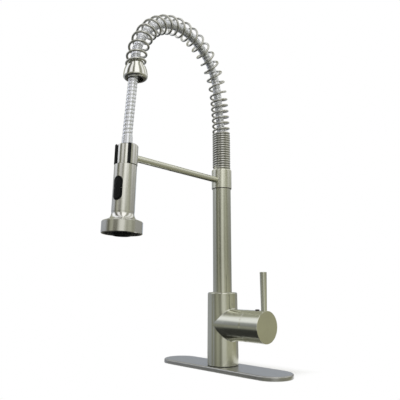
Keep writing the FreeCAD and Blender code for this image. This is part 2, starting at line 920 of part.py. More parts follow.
def spring_ferrule(path, stop):
    """A barrel that swells towards its mouth, with a spigot up inside the last turns of the spring."""
    x, top, _ = path.end
    bottom = top - ferrule_height
    shoulder = (ferrule_top_r, top)
    bulge = (ferrule_bulge_r, bottom + ferrule_bulge_height)
    spigot_top = top + ferrule_spigot_height
    bore_top = (ferrule_bore_r, spigot_top)
    edges = chain([bore_top, (ferrule_spigot_r, spigot_top), (ferrule_spigot_r, top), shoulder])
    edges.append(bow(shoulder, (ferrule_swell_r, top - ferrule_swell_drop), bulge))
    mouth = (ferrule_bulge_r - ferrule_lip, bottom)
    lip_turn = (ferrule_bulge_r - ferrule_lip * lip_share, bottom + ferrule_bulge_height * lip_share)
    edges.append(bow(bulge, lip_turn, mouth))
    edges += chain([
        mouth, (ferrule_cup_r, bottom),
        (ferrule_cup_r, bottom + ferrule_cup_depth),
        (ferrule_bore_r, bottom + ferrule_cup_depth + ferrule_cup_r - ferrule_bore_r), bore_top,
    ])
    ferrule = revolved(edges)
    ferrule.translate(V(x, 0, 0))
    return ferrule.fuse(stop).removeSplitter()


# Hose

def hose_path():
    """From the spigot's shoulder over the arch, straight off it to a corner on the wand's axis, and down."""
    path = PlanePath(0, hose_tail_z).line(lean_start_z - hose_tail_z).arc(lean_r, lean)
    x, z, _ = path.end
    corner_x = dock_reach - hose_bend_rise * math.sin(wand_tilt) - (x + hose_arch_r * math.cos(lean))
    corner_z = arm_z + hose_bend_rise * math.cos(wand_tilt) - (z - hose_arch_r * math.sin(lean))
    far = math.hypot(corner_x, corner_z)
    slant = math.atan2(corner_z, corner_x) + math.acos(hose_arch_r / far)
    turn = slant - wand_tilt
    cut = hose_last_bend_r * math.tan(turn / 2)
    path.arc(hose_arch_r, math.pi - lean - slant)
    path.line(math.sqrt(far ** 2 - hose_arch_r ** 2) - cut).arc(hose_last_bend_r, turn)
    return path.line(hose_bend_rise - cut - hose_end_height)


def hose(path):
    """Outer ribs as a ruled loft through circles, with a plain bore."""
    count = int(path.length / rib_pitch)
    pitch = path.length / count
    stations = []
    for k in range(count):
        s = k * pitch
        stations += [(s, hose_root_r), (s + rib_flank, hose_r)]
        stations += [(s + pitch - rib_groove - rib_flank, hose_r), (s + pitch - rib_groove, hose_root_r)]
    stations.append((path.length, hose_root_r))
    sections = []
    for s, r in stations:
        centre, h, _ = path.at(s)
        circle = Part.Circle(centre, V(math.sin(h), 0, math.cos(h)), r)
        circle.XAxis = Y
        sections.append(Part.Wire(circle.toShape()))
    ribs = Part.makeLoft(sections, True, True)
    bore_circle = Part.Wire(Part.Circle(V(0, 0, hose_tail_z), Z, hose_bore_r).toShape())
    bore = path.wire().makePipeShell([bore_circle], True, False)
    print("hose length:", path.length, "ribs:", count)
    return ribs.cut(bore)


# Hose nut

def hose_nut():
    flange_bottom = hose_nut_flange_top - hose_nut_flange_height
    bottom = flange_bottom - hose_nut_tail_length
    seat = hose_end_height - hose_washer_height
    return turned([
        (hose_bore_r, bottom), (hose_nut_tail_r, bottom), (hose_nut_tail_r, flange_bottom),
        (hose_nut_flange_r, flange_bottom), (hose_nut_flange_r, hose_nut_flange_top),
        (hose_nut_r, hose_nut_flange_top), (hose_nut_r, hose_nut_top), (hose_r + run_gap, hose_nut_top),
        (hose_r + run_gap, seat), (hose_bore_r, seat),
    ])


def hose_sleeve():
    """The smooth sleeve crimped round the hose's end, standing on the nut."""
    bore_r = hose_r + fit_gap
    return tube(bore_r + sleeve_wall, bore_r, hose_nut_top, hose_nut_top + sleeve_length)


def hose_washer():
    return tube(hose_r, hose_bore_r, hose_end_height - hose_washer_height, hose_end_height)


def wand_o_ring():
    minor = (swivel_bore_r - hose_nut_tail_r - run_gap) / 2
    flange_bottom = hose_nut_flange_top - hose_nut_flange_height
    return Part.makeTorus(hose_nut_tail_r + minor + fit_gap, minor, V(0, 0, flange_bottom - minor - fit_gap))


# Wand

def wand_outside():
    """The turned outside of the wand, with a concave flare into the bell."""
    flare_start = (wand_low_r, flare_top)
    flare_end = (flare_r, flare_bottom)
    edge = bell_edge / 2
    edges = chain([
        (0, ring_top), (neck_r - neck_edge, ring_top), (neck_r, ring_top - neck_edge), (neck_r, shoulder_top),
        (wand_top_r - wand_edge, shoulder_top), (wand_top_r, shoulder_top - wand_edge), flare_start,
    ])
    edges.append(bow(flare_start, (flare_mid_r, flare_bottom + flare_mid_height), flare_end))
    edges += chain([
        flare_end, (bell_r - bell_edge, bell_top + edge), (bell_r, bell_top - edge),
        (bell_r, bell_bottom + edge), (bell_r - edge, bell_bottom), (0, bell_bottom), (0, ring_top),
    ])
    return revolved(edges)


def oval(length, width, r_in, r_out):
    """A long rounded block that stands across the wand's wall at the button's place, facing X."""
    block = stadium(length, width, r_in, r_out)
    block.rotate(ORIGIN, Y, 90)
    block.translate(V(0, 0, button_z))
    return block


def button_face_r():
    """The wand's radius at the middle of the button."""
    share = (shoulder_top - button_z) / wand_straight
    return wand_top_r + (wand_low_r - wand_top_r) * share


def wand_shell():
    inside = turned([
        (0, ring_top), (neck_bore_r, ring_top), (neck_bore_r, -swivel_top), (swivel_bore_r, -swivel_top),
        (swivel_bore_r, -wand_bore_top), (wand_bore_r, -wand_bore_top), (wand_bore_r, wand_bore_floor),
        (bell_bore_r, bell_cavity_top), (bell_bore_r, bell_bottom), (0, bell_bottom),
    ])
    window = oval(bezel_length + 2 * slip_gap, bezel_width + 2 * slip_gap, waterway_r, bell_r)
    return wand_turned(wand_outside().cut(inside).cut(window))


def button_bezel():
    out_r = button_face_r() + bezel_proud
    inner = (bezel_length - 2 * bezel_rim, bezel_width - 2 * bezel_rim)
    block = oval(bezel_length, bezel_width, waterway_r, bell_r)
    block = block.cut(oval(inner[0], inner[1], waterway_r, bell_r))
    high, low = button_z + bezel_length, button_z - bezel_length
    block = block.common(tube(out_r, out_r - bezel_depth, low, high))
    hole_at = V(button_face_r() - rocker_pin_depth, 0, button_z)
    half = bezel_width / 2 - bezel_rim + rocker_pin_grip
    return wand_turned(block.cut(rod(rocker_pin_r + fit_gap, -half, half, Y, hole_at)))


def rocker_button():
    out_r = button_face_r() + rocker_proud
    length = bezel_length - 2 * bezel_rim - 2 * rocker_gap
    width = bezel_width - 2 * bezel_rim - 2 * rocker_gap
    block = oval(length, width, out_r - rocker_depth, bell_r)
    block = block.common(rod(out_r, button_z - length, button_z + length))
    outer = [e for e in block.Edges if e.BoundBox.XMin > out_r - rocker_depth / 2]
    block = block.makeFillet(rocker_edge, outer)
    finger = rod(finger_r, finger_tip_r, out_r - rocker_depth / 2, X, V(0, 0, button_z))
    pin_at = V(button_face_r() - rocker_pin_depth, 0, button_z)
    block = block.fuse(finger).removeSplitter()
    return wand_turned(block.cut(rod(rocker_pin_r + slip_gap, -bezel_width, bezel_width, Y, pin_at)))


def rocker_pin():
    half = bezel_width / 2 - bezel_rim + rocker_pin_grip - fit_gap
    return wand_turned(rod(rocker_pin_r, -half, half, Y, V(button_face_r() - rocker_pin_depth, 0, button_z)))


def diverter_spool():
    r = waterway_bore_r - run_gap
    half = spool_length / 2
    groove = finger_r + finger_gap
    spool = rod(r, button_z - half, button_z + half)
    return spool.cut(tube(r, spool_groove_r, button_z - groove, button_z + groove))


def waterway():
    top = -wand_bore_top
    bottom = wand_bore_floor
    upper, lower = top - waterway_flange_height, bottom + waterway_flange_height
    pipe = turned([
        (waterway_bore_r, top), (waterway_flange_r, top), (waterway_flange_r, upper), (waterway_r, upper),
        (waterway_r, lower), (waterway_flange_r, lower),
        (waterway_flange_r, bottom), (waterway_bore_r, bottom),
    ])
    corner = V(0, -slot_half_width, button_z - slot_half_length)
    slot = Part.makeBox(waterway_r, 2 * slot_half_width, 2 * slot_half_length, corner)
    return wand_turned(pipe.cut(slot))


def spray_manifold():
    return turned([
        (waterway_bore_r, wand_bore_floor), (manifold_hub_r, wand_bore_floor),
        (manifold_hub_r, bell_cavity_top), (manifold_r, bell_cavity_top),
        (manifold_r, manifold_bottom), (waterway_bore_r, manifold_bottom),
    ])


def nozzle_places():
    inner = around(inner_nozzle_ring_r, inner_nozzle_count)
    return inner + around(outer_nozzle_ring_r, outer_nozzle_count)


def spray_face():
    face = tube(face_r, aerator_r + slip_gap, face_bottom, manifold_bottom)
    holes = [rod(nozzle_r + fit_gap, face_bottom, manifold_bottom, Z, V(x, y, 0)) for x, y in nozzle_places()]
    return face.cut(holes[0].multiFuse(holes[1:]))


def spray_nozzles():
    tip = face_bottom - nozzle_proud
    return Part.makeCompound([
        rod(nozzle_r, tip, tip + nozzle_length, Z, V(x, y, 0)) for x, y in nozzle_places()
    ])


def aerator():
    ledge = aerator_bottom + screen_depth + screen_height
    body = rounded(rod(aerator_r, aerator_bottom, manifold_bottom), aerator_edge, aerator_bottom)
    body = body.cut(rod(aerator_bore_r, aerator_bottom, ledge))
    return body.cut(rod(aerator_throat_r, ledge, manifold_bottom))


def aerator_screen():
    low = aerator_bottom + screen_depth
    high = low + screen_height
    places = [(0.0, 0.0)]
    for ring in range(1, screen_rings + 1):
        places += around(ring * screen_ring_step, 6 * ring)
    holes = [rod(screen_hole_r, low, high, Z, V(x, y, 0)) for x, y in places]
    return rod(aerator_bore_r - slip_gap, low, high).cut(holes[0].multiFuse(holes[1:]))


# The assembly

def build():
    arch = spring_path()
    spring, spring_foot, spring_tip = spring_wire(arch)
    print("spring least gap to itself:", spring_self_gap(arch))
    foot_stop = stop_block(spring_foot, wire_r + 2 * spring_seat_gap)
    tip_stop = stop_block(spring_tip, wire_r + 2 * spring_seat_gap + spring_tip_rise)
    base = {
        "deck_plate": deck_plate(),
        "deck_gasket": deck_gasket(),
        "base_seal_ring": base_seal_ring(),
        "mounting_shank": mounting_shank(),
        "rubber_washer": rubber_washer(),
        "steel_washer": steel_washer(),
        "mounting_nut": mounting_nut(),
        "faucet_body": faucet_body(),
        "cartridge_seal": cartridge_seal(),
        "cartridge_housing": cartridge_housing(),
        "fixed_disc": fixed_disc(),
        "moving_disc": moving_disc(),
        "disc_carrier": disc_carrier(),
        "stem_guide": stem_guide(),
        "stem_pin": stem_pin(),
        "cartridge_nut": cartridge_nut(),
        "dome_cap": dome_cap(),
        "valve_stem": valve_stem(),
        "handle_hub": handle_hub(),
        "handle_lever": handle_lever(),
        "handle_set_screw": handle_set_screw(),
        "index_button": index_button(),
        "riser_gland": riser_gland(),
    }
    spout = {
        "riser_tube": riser_tube(),
        "riser_o_rings": riser_o_rings(),
        "arm_collar": arm_collar(foot_stop),
        "collar_line": collar_line(),
        "collar_set_screw": collar_set_screw(),
        "support_arm": support_arm(),
        "spring_spigot": spring_spigot(),
        "spring": spring,
        "spring_ferrule": spring_ferrule(arch, tip_stop),
        "hose": hose(hose_path()),
    }
    wand = {
        "dock_ring": dock_ring(),
        "dock_liner": dock_liner(),
        "hose_nut": hose_nut(),
        "hose_sleeve": hose_sleeve(),
        "hose_washer": hose_washer(),
        "wand_o_ring": wand_o_ring(),
        "wand_shell": wand_shell(),
        "button_bezel": button_bezel(),
        "rocker_button": rocker_button(),
        "rocker_pin": rocker_pin(),
        "diverter_spool": diverter_spool(),
        "waterway": waterway(),
        "spray_manifold": spray_manifold(),
        "spray_face": spray_face(),
        "spray_nozzles": spray_nozzles(),
        "aerator": aerator(),
        "aerator_screen": aerator_screen(),
    }
    nodes = dict(base)
    nodes.update({name: swung(shape) for name, shape in spout.items()})
    nodes.update({name: docked(shape) for name, shape in wand.items()})
    return nodes


os.makedirs("parts", exist_ok=True)
for name, shape in build().items():
    shape.exportStep("parts/" + name + ".step")
    print(name, "solids", len(shape.Solids), "volume", round(shape.Volume, 1), "valid", shape.isValid())
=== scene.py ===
import json
import math

import bpy
from mathutils import Matrix, Vector


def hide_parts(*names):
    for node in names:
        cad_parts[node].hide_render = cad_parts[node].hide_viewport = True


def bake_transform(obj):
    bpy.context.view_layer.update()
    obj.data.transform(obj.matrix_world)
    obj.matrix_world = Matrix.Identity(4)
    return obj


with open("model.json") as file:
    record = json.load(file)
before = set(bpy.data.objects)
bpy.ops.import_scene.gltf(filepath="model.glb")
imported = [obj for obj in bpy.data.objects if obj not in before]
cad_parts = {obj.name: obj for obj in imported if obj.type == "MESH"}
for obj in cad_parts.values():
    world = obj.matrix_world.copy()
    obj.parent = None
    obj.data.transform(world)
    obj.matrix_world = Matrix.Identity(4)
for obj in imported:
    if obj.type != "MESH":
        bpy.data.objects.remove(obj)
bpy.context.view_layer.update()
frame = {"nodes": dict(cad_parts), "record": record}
nodes = frame["nodes"]
scene = bpy.context.scene

# Places shared with the solids, in metres. The spout's plane is turned about the riser's axis.
SPOUT_TURN = math.radians(7.02 - 90)
PLATE_HALF = 0.130
PLATE_R = 0.0305
BRANCH_X = 0.0262
BRANCH_Z = 0.06986
COLLAR_TOP = 0.3251
ARM_Z = 0.3056
DOCK_REACH = 0.2153
FERRULE_REACH = 0.2020
WAND_TILT = math.radians(2.3)

# The arch of the spring and the hose: a slight lean, a half round and a drop
LEAN_START = 0.372
LEAN_R = 0.460
LEAN = math.radians(11.1)
TAIL_DROP = 0.0025

# Spring: the closed turns have a thicker wire, so that they nearly touch
SEAT_GAP = 0.0003
WIRE_R = 0.00175
CLOSED_WIRE_R = 0.00198
COIL_R = 0.0135
CLOSED_TURNS = 15
CLOSED_PITCH = 0.00405
LOW_TURNS = 5.2
LOW_PITCH = 0.0102
HIGH_TURNS = 16.8
END_TURNS = 0.75
END_PITCH = 0.0104
TIP_RISE = 0.0008
START_TURN = 0.05
WIRE_END = 2 * WIRE_R
WIRE_RIM = 0.0004
WIRE_SIDES = 14
STATIONS_PER_TURN = 44

# Hose: each rib's profile is (share of the pitch, share of the rib's height)
HOSE_R = 0.00685
HOSE_ROOT_R = 0.00622
HOSE_TAIL = 0.302
HOSE_END_HEIGHT = 0.004
HOSE_SIDE_SHIFT = 0.0018
HOSE_BEND_RISE = 0.036
HOSE_LAST_BEND = 0.200
HOSE_HUG = 0.0026
HOSE_HUG_LENGTH = 0.150
HOSE_SIDES = 36
RIB_PITCH = 0.0057
RIB_PROFILE = [
    (0.0, 0.0), (0.08, 0.40), (0.18, 0.70), (0.30, 0.90), (0.43, 0.99),
    (0.57, 0.99), (0.70, 0.90), (0.82, 0.70), (0.92, 0.40),
]

REACH = Vector((math.cos(SPOUT_TURN), math.sin(SPOUT_TURN), 0))
UP = Vector((0, 0, 1))
SIDE = Vector((0, 1, 0))
TO_SPOUT = Matrix.Rotation(SPOUT_TURN, 3, "Z")


# Node helpers

class Graph:
    """A material's or world's node tree, with short calls to add and join nodes."""

    # Sockets of a Mix node for each kind of value: first, second and result
    MIX_SOCKETS = {"FLOAT": (2, 3, 0), "VECTOR": (4, 5, 1), "RGBA": (6, 7, 2)}
    # Most of a noise's values lie between these
    NOISE_LOW = 0.3
    NOISE_HIGH = 0.7

    def __init__(self, owner):
        owner.use_nodes = True
        self.tree = owner.node_tree
        self.tree.nodes.clear()

    def add(self, kind, inputs=None, **settings):
        node = self.tree.nodes.new(kind)
        for key, value in settings.items():
            setattr(node, key, value)
        for key, value in (inputs or {}).items():
            if isinstance(value, bpy.types.NodeSocket):
                self.tree.links.new(value, node.inputs[key])
            else:
                node.inputs[key].default_value = value
        return node

    def place(self):
        return self.add("ShaderNodeTexCoord").outputs["Object"]

    def parts(self, vector):
        return self.add("ShaderNodeSeparateXYZ", {0: vector}).outputs

    def maths(self, operation, a, b=0.0):
        return self.add("ShaderNodeMath", {0: a, 1: b}, operation=operation).outputs[0]

    def noise(self, vector, scale, detail=2.0, roughness=0.5):
        values = {"Vector": vector, "Scale": scale, "Detail": detail, "Roughness": roughness}
        return self.add("ShaderNodeTexNoise", values).outputs["Fac"]

    def spread(self, value, low, high, start=NOISE_LOW, end=NOISE_HIGH, way="LINEAR"):
        values = {"Value": value, "From Min": start, "From Max": end, "To Min": low, "To Max": high}
        return self.add("ShaderNodeMapRange", values, interpolation_type=way).outputs["Result"]

    def smooth(self, value, start, end, low=0.0, high=1.0):
        return self.spread(value, low, high, start, end, "SMOOTHSTEP")

    def mix(self, factor, a, b, kind="RGBA"):
        first, second, result = self.MIX_SOCKETS[kind]
        values = {0: factor, first: a, second: b}
        return self.add("ShaderNodeMix", values, data_type=kind).outputs[result]

    def finish(self, shader, kind="ShaderNodeOutputMaterial"):
        self.add(kind, {"Surface": shader})


def rgb(r, g, b):
    return (r, g, b, 1.0)


# Brushed and moulded surfaces: the scale of their clouds, and the grain's share of the tone, gloss and depth
METAL_CLOUD = 38.0
METAL_GRAIN_SHARE = 0.6
METAL_GRAIN_GLOSS = 0.08
METAL_CLOUD_GLOSS = 0.06
METAL_BUMP = 0.03
METAL_DEPTH = 0.00004
MOULD_CLOUD = 60.0
MOULD_GLOSS = 0.15
MOULD_DEPTH = 0.00005


def brushed(name, tones, far_point, lines, rough, turn=0.0, anisotropic=0.5, metallic=1.0, split=None):
    """Brushed metal in two tones, light and dark, with its grain round the axis through far_point.

    lines is the grain's count per metre along x, y and z, after a turn about z.
    split = (x, far_point, lines) gives the part beyond that x its own axis and grain, as on a side branch.
    """
    material = bpy.data.materials.new(name)
    g = Graph(material)
    place = g.place()

    def grain_of(counts, angle):
        scale = tuple(1 / c for c in counts)
        values = {"Vector": place, "Rotation": (0, 0, angle), "Scale": scale}
        moved = g.add("ShaderNodeMapping", values, vector_type="TEXTURE")
        return g.noise(moved.outputs[0], scale=1.0, detail=3.0, roughness=0.65)

    def way_of(point):
        return g.add("ShaderNodeVectorMath", {0: place, 1: point}, operation="SUBTRACT").outputs[0]

    grain = grain_of(lines, turn)
    way = way_of(far_point)
    if split:
        edge, other_point, other_lines = split
        beyond = g.maths("GREATER_THAN", g.parts(place)[0], edge)
        grain = g.mix(beyond, grain, grain_of(other_lines, 0.0), "FLOAT")
        way = g.mix(beyond, way, way_of(other_point), "VECTOR")
    cloud = g.noise(place, METAL_CLOUD)
    cloud_share = g.maths("MULTIPLY", cloud, 1 - METAL_GRAIN_SHARE)
    tone_values = {0: grain, 1: METAL_GRAIN_SHARE, 2: cloud_share}
    tone = g.add("ShaderNodeMath", tone_values, operation="MULTIPLY_ADD").outputs[0]
    light, dark = tones
    colour = g.mix(g.spread(tone, 0.0, 1.0), rgb(*dark), rgb(*light))
    grain_gloss = g.spread(grain, 1 - METAL_GRAIN_GLOSS, 1 + METAL_GRAIN_GLOSS)
    cloud_gloss = g.spread(cloud, 1 - METAL_CLOUD_GLOSS, 1 + METAL_CLOUD_GLOSS)
    roughness = g.maths("MULTIPLY", g.maths("MULTIPLY", grain_gloss, cloud_gloss), rough)
    relief = g.add("ShaderNodeBump", {"Strength": METAL_BUMP, "Distance": METAL_DEPTH, "Height": grain})
    tangent = g.add("ShaderNodeVectorTransform", {0: way}, vector_type="VECTOR", convert_from="OBJECT",
                    convert_to="WORLD")
    shader = g.add("ShaderNodeBsdfPrincipled", {
        "Base Color": colour, "Metallic": metallic, "Roughness": roughness, "Anisotropic": anisotropic,
        "Normal": relief.outputs[0], "Tangent": tangent.outputs[0],
    })
    g.finish(shader.outputs[0])
    return material


def moulded(name, tones, rough, grain=900.0, bump=0.12, specular=0.5, coat=0.0):
    """Plastic, rubber or ceramic with a fine moulded grain and slightly uneven gloss."""
    material = bpy.data.materials.new(name)
    g = Graph(material)
    place = g.place()
    fine = g.noise(place, grain, detail=3.0, roughness=0.6)
    cloud = g.noise(place, MOULD_CLOUD)
    light, dark = tones
    colour = g.mix(g.spread(cloud, 0.0, 1.0), rgb(*dark), rgb(*light))
    roughness = g.maths("MULTIPLY", g.spread(fine, 1 - MOULD_GLOSS, 1 + MOULD_GLOSS), rough)
    relief = g.add("ShaderNodeBump", {"Strength": bump, "Distance": MOULD_DEPTH, "Height": fine})
    shader = g.add("ShaderNodeBsdfPrincipled", {
        "Base Color": colour, "Roughness": roughness, "Specular IOR Level": specular, "Coat Weight": coat,
        "Normal": relief.outputs[0],
    })
    g.finish(shader.outputs[0])
    return material


# Materials: light and dark tones, counts of grain lines, and far points on the axes that the grain runs round

NICKEL = ((0.655, 0.660, 0.570), (0.610, 0.615, 0.525))
NICKEL_ROUGH = 0.20
SATIN = ((0.790, 0.795, 0.690), (0.745, 0.750, 0.645))
SATIN_ROUGH = 0.26
WAND = ((0.780, 0.777, 0.732), (0.735, 0.733, 0.687))
FERRULE = ((0.79, 0.79, 0.74), (0.75, 0.75, 0.70))
PLATE = ((0.60, 0.60, 0.585), (0.50, 0.50, 0.485))
WIRE = ((0.67, 0.67, 0.63), (0.61, 0.61, 0.57))
HOSE = ((0.92, 0.94, 0.99), (0.87, 0.89, 0.94))
BRASS = ((0.76, 0.60, 0.31), (0.66, 0.50, 0.24))
STEEL = ((0.70, 0.70, 0.70), (0.58, 0.58, 0.58))
BLACK_PLASTIC = ((0.009, 0.011, 0.012), (0.005, 0.006, 0.007))
DARK_TRIM = ((0.05, 0.032, 0.046), (0.03, 0.02, 0.03))
RUBBER = ((0.035, 0.035, 0.036), (0.02, 0.02, 0.021))
NOZZLE_RUBBER = ((0.10, 0.10, 0.105), (0.06, 0.06, 0.065))
RUBBER_GRAIN = 1500.0
WHITE_PLASTIC = ((0.82, 0.82, 0.80), (0.74, 0.74, 0.72))
CERAMIC = ((0.90, 0.89, 0.86), (0.82, 0.81, 0.78))

ROUND_Z = (70, 70, 2600)
ROUND_X = (2600, 70, 70)
PLATE_LINES = (60, 2600, 2600)
WIRE_LINES = (500, 500, 500)
HOSE_LINES = (300, 300, 2600)

FAR = 0.6
RISER_FAR = (0, 0, -FAR)
BRANCH_FAR = (-FAR, 0, BRANCH_Z)
ARM_FAR = tuple(REACH * -FAR + UP * ARM_Z)
WAND_AXIS = REACH * math.sin(WAND_TILT) - UP * math.cos(WAND_TILT)
WAND_FAR = tuple(REACH * DOCK_REACH + UP * ARM_Z + WAND_AXIS * FAR)
FERRULE_FAR = tuple(REACH * FERRULE_REACH - UP * 0.2)
PLATE_FAR = (-0.9, 0.02, -0.3)
WIRE_FAR = (0.02, -0.1, -FAR)

branch_split = (BRANCH_X, BRANCH_FAR, ROUND_X)
nickel_z = brushed("nickel_round_z", NICKEL, RISER_FAR, ROUND_Z, NICKEL_ROUGH)
nickel_x = brushed("nickel_round_x", NICKEL, BRANCH_FAR, ROUND_X, NICKEL_ROUGH)
nickel_body = brushed("nickel_body", NICKEL, RISER_FAR, ROUND_Z, NICKEL_ROUGH, split=branch_split)
nickel_arm = brushed("nickel_arm", SATIN, ARM_FAR, ROUND_X, SATIN_ROUGH, turn=SPOUT_TURN)
nickel_collar = brushed("nickel_collar", SATIN, RISER_FAR, ROUND_Z, SATIN_ROUGH)
nickel_wand = brushed("nickel_wand", WAND, WAND_FAR, ROUND_Z, rough=0.19)
nickel_ferrule = brushed("nickel_ferrule", FERRULE, FERRULE_FAR, ROUND_Z, rough=0.13)
plate_nickel = brushed("plate_nickel", PLATE, PLATE_FAR, PLATE_LINES, rough=0.30)
spring_wire = brushed("spring_wire", WIRE, WIRE_FAR, WIRE_LINES, rough=0.22, anisotropic=0.0)
hose_steel = brushed("hose_steel", HOSE, WAND_FAR, HOSE_LINES, rough=0.34, anisotropic=0.3, metallic=0.9)
brass = brushed("brass", BRASS, RISER_FAR, ROUND_Z, rough=0.30)
steel = brushed("steel", STEEL, RISER_FAR, ROUND_Z, rough=0.30, anisotropic=0.3)
black_plastic = moulded("black_plastic", BLACK_PLASTIC, rough=0.40, specular=0.22)
dark_trim = moulded("dark_trim", DARK_TRIM, rough=0.22, coat=0.4)
rubber = moulded("rubber", RUBBER, rough=0.75, grain=RUBBER_GRAIN, bump=0.25)
nozzle_rubber = moulded("nozzle_rubber", NOZZLE_RUBBER, rough=0.6, grain=RUBBER_GRAIN)
white_plastic = moulded("white_plastic", WHITE_PLASTIC, rough=0.42)
disc_ceramic = moulded("disc_ceramic", CERAMIC, rough=0.18, bump=0.04)

by_slot = {
    "nickel": nickel_z, "plate_nickel": plate_nickel, "spring_wire": spring_wire, "hose_steel": hose_steel,
    "black_plastic": black_plastic, "dark_trim": dark_trim, "rubber": rubber,
    "nozzle_rubber": nozzle_rubber, "brass": brass, "steel": steel, "white_plastic": white_plastic,
    "disc_ceramic": disc_ceramic,
}
by_node = {
    "faucet_body": nickel_body, "dome_cap": nickel_x, "handle_hub": nickel_x, "support_arm": nickel_arm,
    "arm_collar": nickel_collar, "wand_shell": nickel_wand, "dock_ring": nickel_wand,
    "spring_ferrule": nickel_ferrule, "spring_spigot": nickel_z,
}
for subpart in frame["record"]["subparts"]:
    name = subpart["node"]
    material = by_node.get(name, by_slot[subpart["material_slot"]])
    cad_mesh = nodes[name].data
    if not cad_mesh.materials:
        cad_mesh.materials.append(material)
    for index in range(len(cad_mesh.materials)):
        cad_mesh.materials[index] = material


# Paths in the spout's plane: (distance out, height, heading from straight up)

class PlanePath:
    def __init__(self, x, z):
        self.pieces = []
        self.length = 0.0
        self.end = (x, z, 0.0)

    def add(self, length, bend):
        self.pieces.append((self.length, length, bend, self.end))
        self.length += length
        self.end = self.step(self.end, length, bend)
        return self

    def line(self, length):
        return self.add(length, 0.0)

    def arc(self, radius, angle):
        return self.add(radius * angle, 1 / radius)

    @staticmethod
    def step(place, s, bend):
        x, z, h = place
        if bend == 0.0:
            return x + s * math.sin(h), z + s * math.cos(h), h
        turned = h + s * bend
        out = (math.cos(h) - math.cos(turned)) / bend
        rise = (math.sin(turned) - math.sin(h)) / bend
        return x + out, z + rise, turned

    def at(self, s):
        """The point, heading and bend at a distance along the path."""
        for first, length, bend, place in self.pieces:
            if s <= first + length:
                break
        x, z, h = self.step(place, s - first, bend)
        return Vector((x, 0, z)), h, bend


def leaned():
    """Where both paths end their first lean."""
    return PlanePath(0, LEAN_START).arc(LEAN_R, LEAN).end


def spring_path():
    x, _, _ = leaned()
    first = COLLAR_TOP + SEAT_GAP + WIRE_R
    arch = (FERRULE_REACH - x) / (1 + math.cos(LEAN))
    path = PlanePath(0, first).line(LEAN_START - first).arc(LEAN_R, LEAN)
    return path.arc(arch, math.pi - LEAN).line(TAIL_DROP)


def hose_path():
    """Up inside the spring, down on a slant that touches the arch, and round a last bend into the wand."""
    x, z, _ = leaned()
    arch = (FERRULE_REACH + HOSE_SIDE_SHIFT - x) / (1 + math.cos(LEAN))
    corner_x = DOCK_REACH - HOSE_BEND_RISE * math.sin(WAND_TILT) - (x + arch * math.cos(LEAN))
    corner_z = ARM_Z + HOSE_BEND_RISE * math.cos(WAND_TILT) - (z - arch * math.sin(LEAN))
    far = math.hypot(corner_x, corner_z)
    slant = math.atan2(corner_z, corner_x) + math.acos(arch / far)
    turn = slant - WAND_TILT
    cut = HOSE_LAST_BEND * math.tan(turn / 2)
    path = PlanePath(0, HOSE_TAIL).line(LEAN_START - HOSE_TAIL).arc(LEAN_R, LEAN)
    path.arc(arch, math.pi - LEAN - slant).line(math.sqrt(far ** 2 - arch ** 2) - cut)
    return path.arc(HOSE_LAST_BEND, turn).line(HOSE_BEND_RISE - cut - HOSE_END_HEIGHT)


def directions(h):
    """Along a path with this heading, and towards the inside of its bend."""
    return Vector((math.sin(h), 0, math.cos(h))), Vector((math.cos(h), 0, -math.sin(h)))


def link_mesh(name, points, faces, material):
    mesh = bpy.data.meshes.new(name)
    mesh.from_pydata(points, [], faces)
    mesh.update()
    mesh.materials.append(material)
    piece = bpy.data.objects.new(name, mesh)
    scene.collection.objects.link(piece)
    return piece


def spout_piece(name, points, faces, material):
    piece = link_mesh(name, [TO_SPOUT @ p for p in points], faces, material)
    piece.data.shade_smooth()
    return piece


# Spring: a round wire on the coil's own line, with softly rounded ends

def spring_knots(path):
    """(turn, pitch) where each stretch of even pitch starts and ends; one turn of change lies between."""
    used = WIRE_R + SEAT_GAP + TIP_RISE + CLOSED_TURNS * CLOSED_PITCH + CLOSED_PITCH / 2
    used += (LOW_TURNS + 1) * LOW_PITCH + (END_TURNS + 1 / 2) * END_PITCH
    high_pitch = (path.length - used) / (HIGH_TURNS + 1)
    stretches = [(CLOSED_TURNS, CLOSED_PITCH), (LOW_TURNS, LOW_PITCH)]
    stretches += [(HIGH_TURNS, high_pitch), (END_TURNS, END_PITCH)]
    knots = []
    start = 0
    for turns, pitch in stretches:
        knots += [(start, pitch), (start + turns, pitch)]
        start += turns + 1
    return knots


def climb(knots, turn):
    """Distance along the path, and pitch, at a turn of the spring."""
    s = 0.0
    for (n0, p0), (n1, p1) in zip(knots, knots[1:]):
        span = min(turn, n1) - n0
        rate = p0 + (p1 - p0) * span / (n1 - n0)
        s += (p0 + rate) / 2 * span
        if turn <= n1:
            break
    return s, rate


